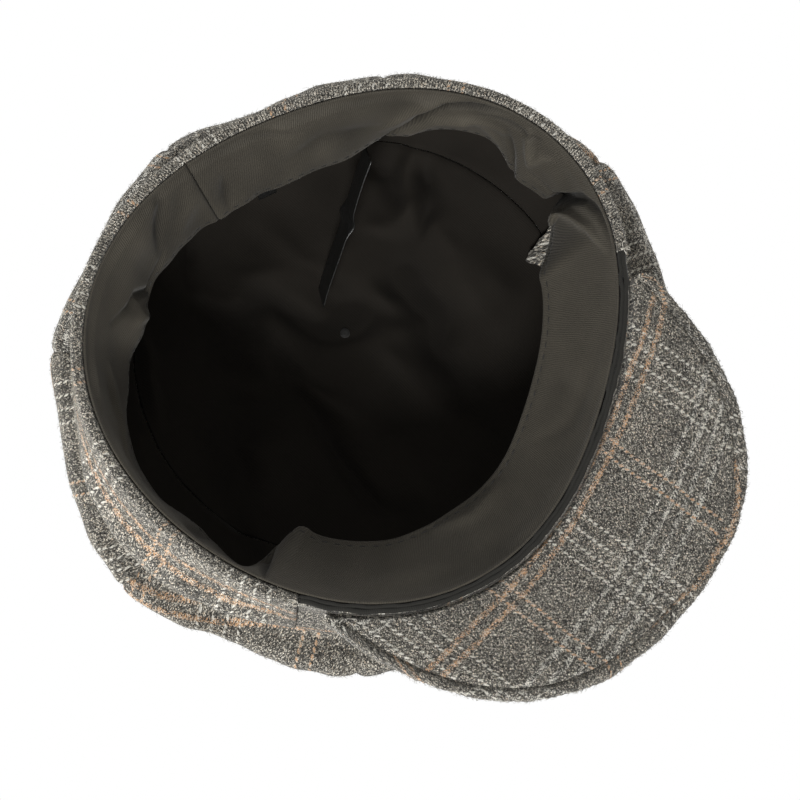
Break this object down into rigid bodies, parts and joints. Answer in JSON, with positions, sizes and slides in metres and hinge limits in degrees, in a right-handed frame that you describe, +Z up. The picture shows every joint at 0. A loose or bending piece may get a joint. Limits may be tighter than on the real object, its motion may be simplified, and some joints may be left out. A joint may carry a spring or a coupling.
{
  "type": "newsboy cap",
  "caption": "Soft panelled tweed cap with a stiff arched visor, a low band with a turned rim, a ribbed sweatband, a dark lining, a covered button and a blank satin care label.",
  "frame": {"origin": "middle of the head opening, in the plane of the rim that rests on a table", "axes": "+Z up to the covered button on the crown, -Y forwards to the visor, +X to the wearer's left"},
  "size_m": [0.2268, 0.2539, 0.1018],
  "materials": {
    "tweed": "heathered charcoal twill tweed with tan and white windowpane checks",
    "buckram": "stiffened open weave",
    "twill": "ribbed dark olive-grey cotton twill",
    "binding": "folded dark twill tape",
    "elastic": "braided elastic tape",
    "lining": "near-black plain lining cloth, slight sheen",
    "satin": "black satin",
    "tab": "black woven tape",
    "visor_board": "flexible sheet",
    "button_metal": "pressed plate",
    "thread": "heavy sewing thread"
  },
  "bodies": {
    "cap_body": {"crown_panel_1": "tweed", "crown_panel_2": "tweed", "crown_panel_3": "tweed", "crown_panel_4": "tweed", "crown_panel_5": "tweed", "crown_panel_6": "tweed", "crown_panel_7": "tweed", "crown_panel_8": "tweed", "band_front": "tweed", "band_back": "tweed", "front_buckram": "buckram", "back_buckram": "buckram", "visor_binding": "binding", "lining_side": "lining", "lining_top": "lining", "sweatband": "twill", "rear_elastic": "elastic", "size_tab": "tab", "button_cover": "tweed", "button_shell": "button_metal", "button_back": "button_metal", "button_thread": "thread"},
    "visor": {"visor_upper_cover": "tweed", "visor_lower_cover": "tweed", "visor_board": "visor_board"},
    "label": {"care_label": "satin"}
  },
  "joints": [
    {"name": "visor_flex", "type": "hinge", "parent": "cap_body", "child": "visor", "pos_m": [0, -0.072, 0.008], "axis": [1, 0, 0], "range_deg": [-7, 7], "stiffness_Nm_per_rad": 0.6},
    {"name": "label_flap", "type": "hinge", "parent": "cap_body", "child": "label", "pos_m": [-0.05738, 0.05519, 0.03618], "axis": [0.6947, 0.7193, 0], "range_deg": [0, 75]}
  ]
}
